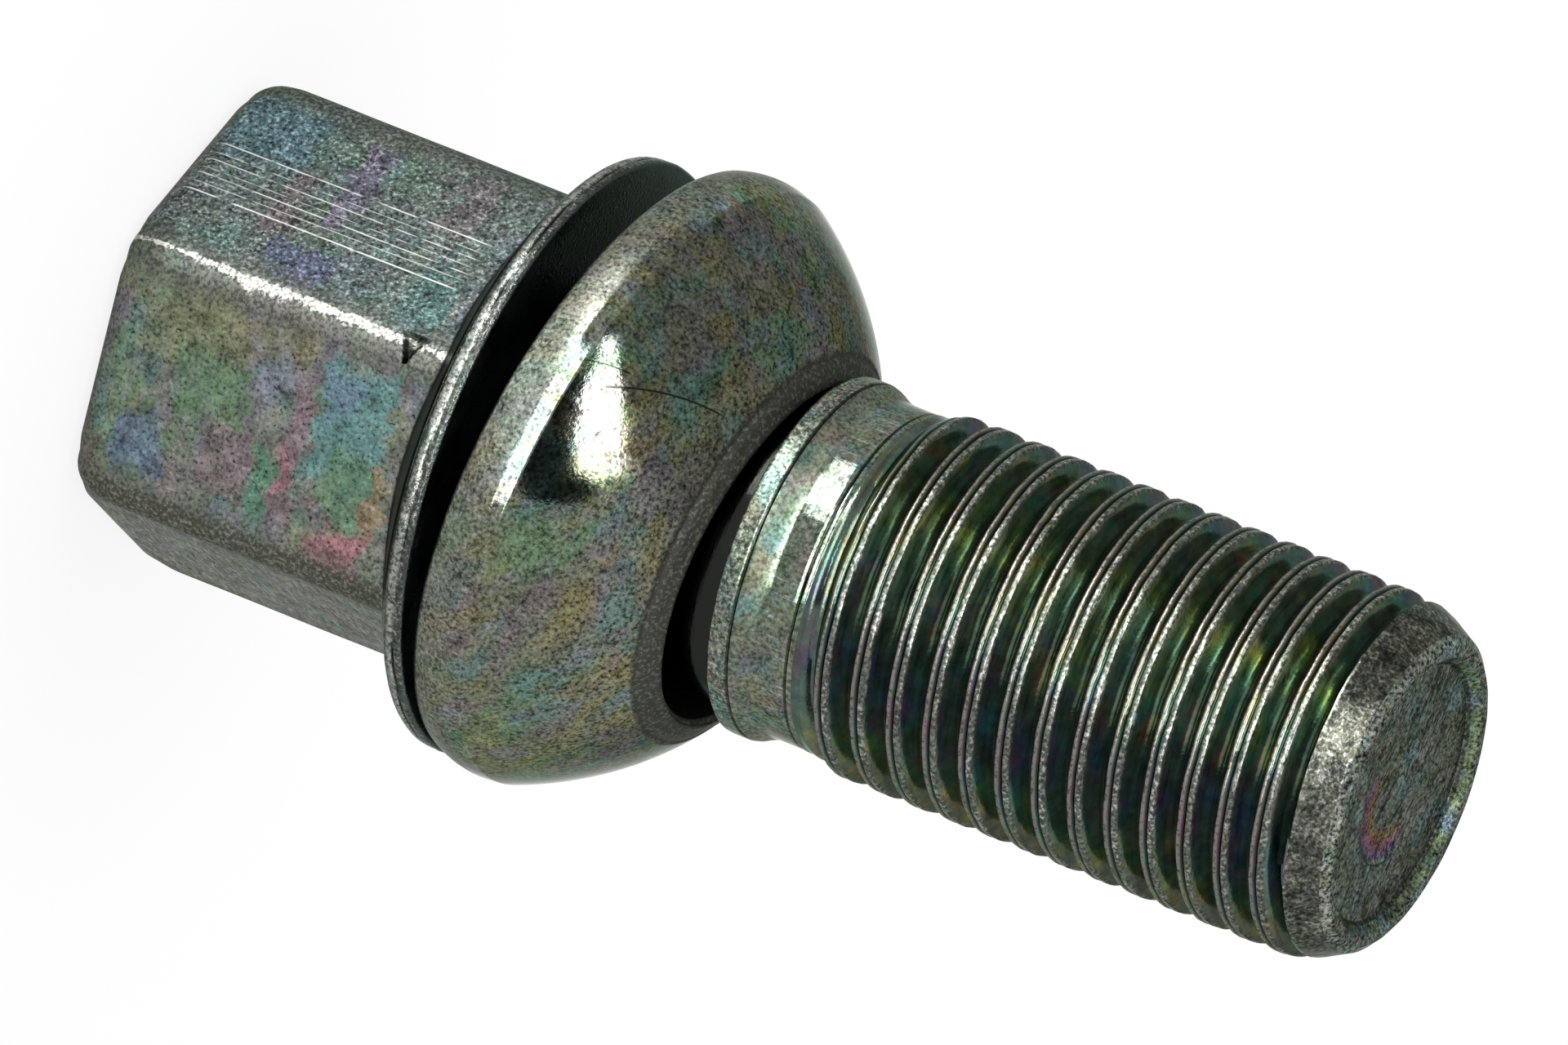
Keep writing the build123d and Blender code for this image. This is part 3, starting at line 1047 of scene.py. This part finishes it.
# Hairline scratches on the ball: direction across, direction along, middle along, half length, place
# across, bow and half width
BALL_SCRATCHES = (
    ((0.966, 0.121, 0.228), (-0.249, 0.669, 0.701), 9.3, 2.4, 2.05, 0.27, 0.055),
    ((0.984, 0.029, 0.174), (-0.162, 0.532, 0.831), 11.0, 0.8, 1.44, 0.05, 0.045),
)

# Distances from the crease, along the ring's profile, of two edges that catch the light
BAND_EDGE = -3.35
LIP_EDGE = 7.66


def collar_material():
    metal = Metal("collar_metal", 0.06, 6.0, 0.04)
    slant = (axis_up * 0.62 + view_up * 0.72 + near * 0.3).normalized()
    metal.clouds((0.13, 0.142, 0.105), metal.drawn(slant, 0.55), (OLIVE, 2.2, 0.65), (MAUVE, 1.8, 0.5),
                 (GREEN, 2.4, 0.8), (TEAL, 1.6, 0.55), (GOLD, 1.3, 0.4), (VIOLET, 1.3, 0.3))
    rise = metal.attribute("rise")
    seat = metal.span(rise, -0.05, 0.05)
    band = metal.span(rise, -0.5, -0.75)
    small_end = metal.span(rise, 1.5, 6.0)
    metal.tint((0.15, 0.153, 0.125), band, 0.55)
    metal.grime(metal.linear(small_end, 0.25, 0.4))
    metal.mottle(4.8, 0.52)
    metal.dots(metal.linear(small_end, 0.5, 0.4))
    metal.pits(metal.linear(small_end, 0.5, 0.5), 0.37, 0.29)
    metal.specks(metal.linear(seat, -0.1, 0.2))

    # Painted highlights along the crease and the band edge, broken up by a patchy mask, and hairline
    # scratches
    worn = metal.span(metal.coarse, 0.42, 0.56)
    metal.tint((0.35, 0.35, 0.32), metal.near_line(rise, 0.0, 0.06), worn, 0.3)
    metal.tint((0.4, 0.4, 0.36), metal.near_line(rise, BAND_EDGE, 0.14), worn, 0.6)
    for across, along, middle, half_length, place, bow, half_width in BALL_SCRATCHES:
        run = metal.times(metal.minus(metal.dot(metal.point, along), middle), 1.0 / half_length)
        straight = metal.minus(metal.dot(metal.point, across), metal.times(run, run, bow))
        mark = metal.near_line(straight, place, half_width)
        metal.tint(SOOT, mark, metal.window(run, -1.0, 1.0, 0.12), 0.95)

    # The lip past the seat is dark, painted shade towards the gap, and its inner edge has a painted
    # highlight
    lip = metal.attribute("lip")
    metal.tint((0.055, 0.056, 0.048), lip, 0.95)
    metal.specks(metal.times(lip, 0.4), (0.25, 0.25, 0.22), 0.5, 0.66)
    metal.tint((0.3, 0.3, 0.27), metal.near_line(rise, LIP_EDGE, 0.09), worn, 0.5)
    metal.roughen(lip, 0.3)
    metal.roughen(band, 0.22)
    metal.roughen(small_end, 0.12)
    return metal.finish(0.005)


bolt = bolt_skin().build("wheel_bolt")
for material in (head_material(), flange_material(), shank_material(), thread_material(), tip_material()):
    bolt.data.materials.append(material)
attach(bolt, "bolt")
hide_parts("bolt")

collar = collar_skin().build("ball_seat_ring")
collar.data.materials.append(collar_material())
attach(collar, "seat_collar")
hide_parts("seat_collar")


def in_view(toward, upward, height):
    """Point at distances towards the camera's side, upwards in its view and along the bolt."""
    return near * toward + view_up * upward + axis_up * height


def direction(rise, elevation):
    """Unit vector at an angle above the near side, seen along the bolt, and an elevation to the tip."""
    level = near * cos(radians(rise)) + view_up * sin(radians(rise))
    return level * cos(radians(elevation)) + axis_up * sin(radians(elevation))


def make_camera():
    """Places the camera at the photograph's view, rolled so that the tip points down to the right."""
    to_camera = direction(0.0, tip_lean)
    along = axis_up * cos(radians(tip_lean)) - near * sin(radians(tip_lean))
    right = along * cos(radians(roll)) + view_up * sin(radians(roll))
    upward = view_up * cos(radians(roll)) - along * sin(radians(roll))
    place = in_view(0.0, aim_rise, aim_height) + to_camera * camera_distance
    data = bpy.data.cameras.new("camera")
    data.sensor_width = sensor_width
    data.lens = sensor_width * camera_distance / view_width
    data.clip_start = 0.01
    data.clip_end = 100.0
    camera = new_object("camera", data)
    turned = Matrix((right, upward, to_camera)).transposed()
    camera.matrix_world = Matrix.LocRotScale(place * MM, turned, None)
    bpy.context.scene.camera = camera


# Dimmer parts of the studio, which only reflections find: middle above the near side, elevation, outer
# and inner edge
DIM_PARTS = ((100.0, 50.0, 60.0, 46.0), (180.0, 22.0, 42.0, 28.0))
DIM_LEVEL = 0.5


def make_world():
    """White all round, with the studio's dimmer parts for reflections."""
    world = bpy.data.worlds.new("studio")
    bpy.context.scene.world = world
    world.use_nodes = True
    nodes = Nodes(world.node_tree)
    background = world.node_tree.nodes["Background"]
    background.inputs["Color"].default_value = (1.0, 1.0, 1.0, 1.0)
    toward = nodes.new("TexCoord").outputs["Generated"]
    dim = 0.0
    for rise, elevation, outer, inner in DIM_PARTS:
        along = nodes.dot(toward, direction(rise, elevation))
        dim = nodes.math("MAXIMUM", nodes.span(along, cos(radians(outer)), cos(radians(inner))), dim)
    glossy = nodes.new("LightPath").outputs["Is Glossy Ray"]
    dimming = nodes.times(dim, glossy, 1.0 - DIM_LEVEL)
    nodes.put(background.inputs["Strength"], nodes.minus(1.0, dimming))


def bare_material(name):
    """A material without a shader, with its nodes and the socket that takes its surface."""
    material = bpy.data.materials.new(name)
    material.use_nodes = True
    tree = material.node_tree
    tree.nodes.remove(tree.nodes["Principled BSDF"])
    return material, Nodes(tree), tree.nodes["Material Output"].inputs["Surface"]


def glow(nodes, level):
    emission = nodes.new("Emission")
    emission.inputs["Strength"].default_value = level
    return emission.outputs[0]


def seen_directly(nodes):
    """1 for rays of the camera, of reflections and through glass, which see the floor as white."""
    path = nodes.new("LightPath").outputs
    seen = nodes.math("MAXIMUM", path["Is Camera Ray"], path["Is Glossy Ray"])
    return nodes.math("MAXIMUM", seen, path["Is Transmission Ray"])


FLOOR_SIZE = 6.0             # in metres
FLOOR_COLOUR = (0.9, 0.9, 0.9, 1.0)
FLOOR_WHITE = 0.85           # share of plain white where the floor is seen; the rest takes the shadow


def make_floor():
    bpy.ops.mesh.primitive_plane_add(size=FLOOR_SIZE)
    floor = bpy.context.object
    floor.name = "floor"
    material, nodes, surface = bare_material("floor_white")
    diffuse = nodes.new("BsdfDiffuse")
    diffuse.inputs["Color"].default_value = FLOOR_COLOUR
    blend = nodes.new("MixShader")
    nodes.put(blend.inputs[0], nodes.times(seen_directly(nodes), FLOOR_WHITE))
    nodes.put(blend.inputs[1], diffuse.outputs[0])
    nodes.put(blend.inputs[2], glow(nodes, 1.0))
    nodes.put(surface, blend.outputs[0])
    floor.data.materials.append(material)


LAMP_SIZE = 0.5              # in metres
LAMP_DISTANCE = 0.6          # in metres
LAMP_POWER = 1.0             # in watts


def make_lamp():
    """A soft lamp over the bolt that gives it a shadow on the floor."""
    data = bpy.data.lights.new("soft_lamp", "AREA")
    data.shape = "RECTANGLE"
    data.size = LAMP_SIZE
    data.size_y = LAMP_SIZE
    data.energy = LAMP_POWER
    lamp = new_object("soft_lamp", data)
    toward = direction(60.0, 62.0)
    lamp.matrix_world = Matrix.LocRotScale(toward * LAMP_DISTANCE, toward.to_track_quat("Z", "Y"), None)
    lamp.visible_camera = False
    lamp.visible_glossy = False


def make_card(name, corners, level):
    """A card that shows only in reflections."""
    mesh = bpy.data.meshes.new(name)
    mesh.from_pydata([corner * MM for corner in corners], [], [list(range(len(corners)))])
    card = new_object(name, mesh)
    material, nodes, surface = bare_material(name)
    nodes.put(surface, glow(nodes, level))
    mesh.materials.append(material)
    for rays in ("camera", "diffuse", "transmission", "shadow"):
        setattr(card, "visible_" + rays, False)


# Point about which the hung cards are placed, on the near side of the ball seat
card_aim = in_view(11.0, 0.0, 20.5)


def hung(distance, *places):
    """Card corners at angles above the near side and elevations, seen from the ball seat."""
    return [card_aim + direction(rise, elevation) * distance for rise, elevation in places]


def fan(start, end, inner, outer, height=0.5, steps=8):
    """Corners of a ring sector over the floor, between two angles above the near side and two radii."""
    turns = np.radians(np.linspace(start, end, steps))
    inside = [in_view(inner * cos(t), inner * sin(t), height) for t in turns]
    outside = [in_view(outer * cos(t), outer * sin(t), height) for t in turns[::-1]]
    return inside + outside


make_camera()
make_world()
make_floor()
make_lamp()
make_card("softbox", hung(300.0, (42.0, 33.6), (43.5, 36.0), (39.0, 39.5), (29.0, 47.6), (10.7, 55.8),
                          (-7.0, 59.0), (-14.5, 54.5), (-12.0, 46.3), (-0.2, 42.8), (18.3, 37.8),
                          (36.0, 35.2)), 14.0)
make_card("dark_flag", hung(306.0, (28.0, 33.0), (18.3, 38.1), (-0.2, 43.1), (-12.0, 46.6), (-16.0, 54.5),
                            (-27.5, 50.0), (-28.0, 33.0), (-24.0, 28.0), (12.0, 28.0)), 0.05)
make_card("low_strip", hung(312.0, (38.0, -3.6), (32.0, 9.0), (20.0, 12.0), (0.0, 13.0), (-24.0, 14.0),
                            (-29.0, 4.0), (-24.0, -3.6)), 9.0)
make_card("far_floor", fan(-26.0, 34.0, 150.0, 310.0), 9.0)
make_card("band_card", fan(42.0, 60.0, 38.0, 66.0, 0.6), 5.0)
make_card("rim_card", fan(-10.0, 62.0, 26.0, 51.0, 0.4), 2.4)
make_card("corner_card", [in_view(11.5, 0.0, 0.5), in_view(36.0, 14.0, 0.5), in_view(29.0, 30.0, 0.5),
                          in_view(9.5, 8.5, 0.5)], 2.4)
make_card("land_card", fan(24.0, 66.0, 66.0, 82.0), 9.0)
make_card("thread_card", fan(32.0, 50.0, 84.0, 140.0), 28.0)
bpy.context.scene.view_settings.view_transform = "Standard"
